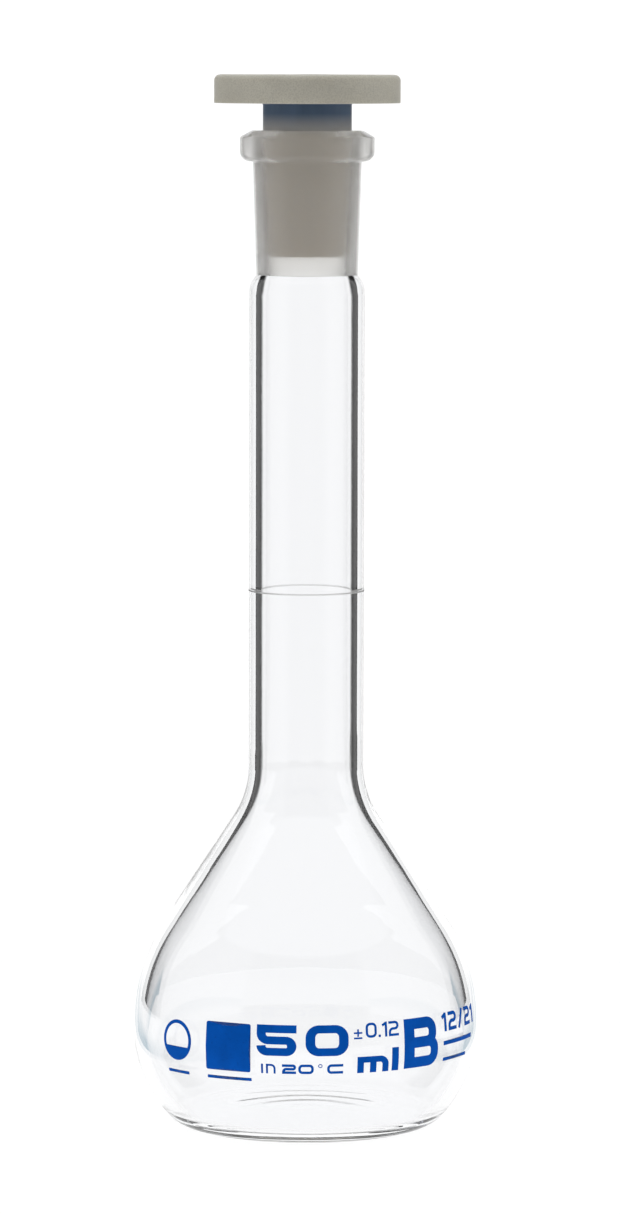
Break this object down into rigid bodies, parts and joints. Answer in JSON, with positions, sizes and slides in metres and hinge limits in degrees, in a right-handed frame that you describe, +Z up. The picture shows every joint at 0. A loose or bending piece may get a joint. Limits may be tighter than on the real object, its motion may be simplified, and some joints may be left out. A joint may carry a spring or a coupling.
{
  "type": "volumetric flask",
  "caption": "Pear-shaped glass volumetric flask with a long neck, capacity ring, ground socket, blue fired print and a push-in plastic stopper.",
  "frame": {"origin": "centre of the ring that the flask stands on", "axes": "+Z up along the flask's axis of revolution; the printed side faces -Y, and +X is to the right of the print"},
  "size_m": [0.0488, 0.0487, 0.1478],
  "materials": {
    "clear_glass": "clear blown borosilicate glass",
    "ground_glass": "ground, frosted glass",
    "ring_enamel": "thin fired line, frosted and almost clear",
    "natural_plastic": "translucent natural polyethylene, fine grain",
    "blue_plastic": "coloured polyethylene",
    "blue_enamel": "fired blue print, semi-gloss"
  },
  "bodies": {
    "flask": {"bulb_and_neck": "clear_glass", "ground_socket": "ground_glass", "graduation_ring": "ring_enamel", "enamel_field": "blue_enamel", "enamel_capacity": "blue_enamel", "enamel_class": "blue_enamel"},
    "stopper_unit": {"stopper": "natural_plastic", "colour_insert": "blue_plastic"}
  },
  "joints": [
    {"name": "stopper_lift", "type": "slide", "parent": "flask", "child": "stopper_unit", "axis": [0, 0, 1], "range_m": [0, 0.03]}
  ]
}
